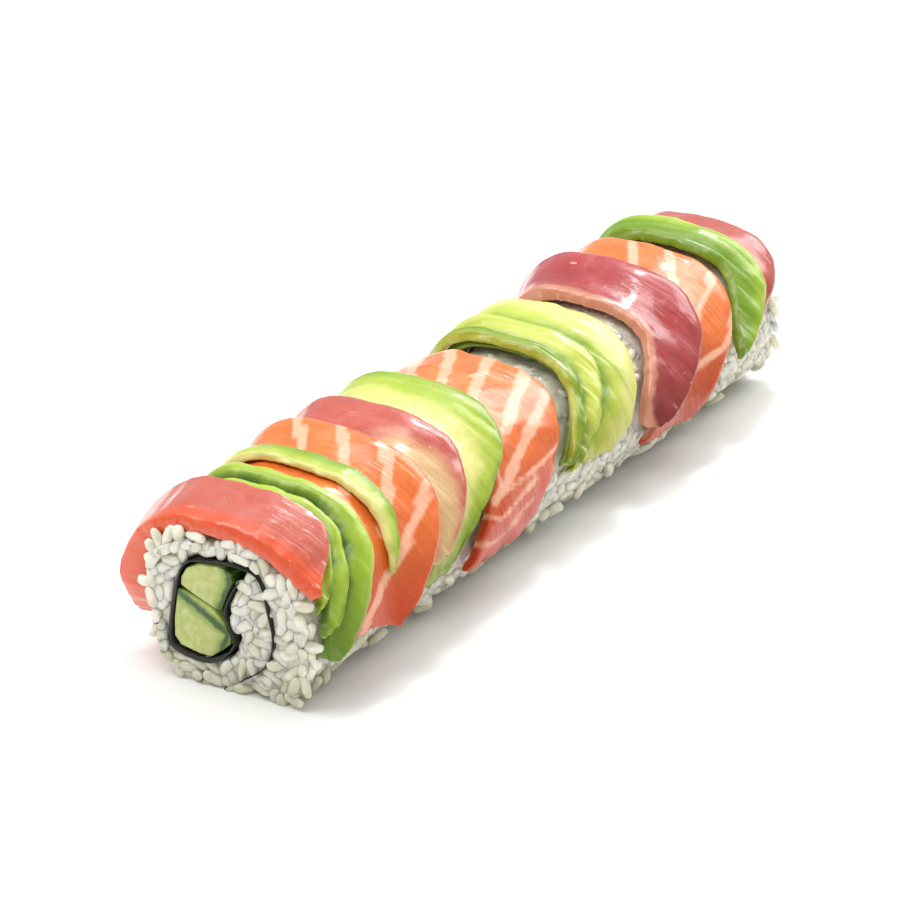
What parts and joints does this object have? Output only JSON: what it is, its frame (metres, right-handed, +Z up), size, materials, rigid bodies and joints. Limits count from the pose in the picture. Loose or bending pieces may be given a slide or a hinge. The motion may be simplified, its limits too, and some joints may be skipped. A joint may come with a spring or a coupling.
{
  "type": "uramaki roll",
  "caption": "Long uncut inside-out sushi roll: rice round nori and cucumber, draped with shingled slices of tuna, salmon and avocado; lies on its flat underside.",
  "frame": {"origin": "middle of the roll's box, at the height of its flat underside", "axes": "+Y runs along the roll from its shown cut end to its far end, +Z is up"},
  "size_m": [0.0616, 0.2162, 0.0401],
  "materials": {
    "rice": "cooked short-grain rice, sticky, slightly translucent, soft sheen",
    "nori": "dried seaweed sheet gone damp, near black green, faint wrinkles",
    "cucumber_flesh": "wet cut cucumber, pale green flesh with darker skin edges",
    "tuna_flesh": "raw lean tuna, rose red, moist and slightly translucent",
    "salmon_flesh": "raw salmon, orange with pale fat lines, moist and slightly translucent",
    "avocado_flesh": "ripe avocado, pale yellow flesh going green towards the skin side, buttery sheen"
  },
  "bodies": {
    "root": {"rice": "rice", "nori": "nori", "cucumber_lower": "cucumber_flesh", "cucumber_upper": "cucumber_flesh", "tuna_1": "tuna_flesh", "tuna_2": "tuna_flesh", "tuna_3": "tuna_flesh", "tuna_4": "tuna_flesh", "salmon_1": "salmon_flesh", "salmon_2": "salmon_flesh", "salmon_3": "salmon_flesh", "salmon_4": "salmon_flesh", "avocado_1a": "avocado_flesh", "avocado_1b": "avocado_flesh", "avocado_1c": "avocado_flesh", "avocado_2": "avocado_flesh", "avocado_3a": "avocado_flesh", "avocado_3b": "avocado_flesh", "avocado_3c": "avocado_flesh", "avocado_4a": "avocado_flesh", "avocado_4b": "avocado_flesh", "avocado_5": "avocado_flesh"}
  },
  "joints": []
}
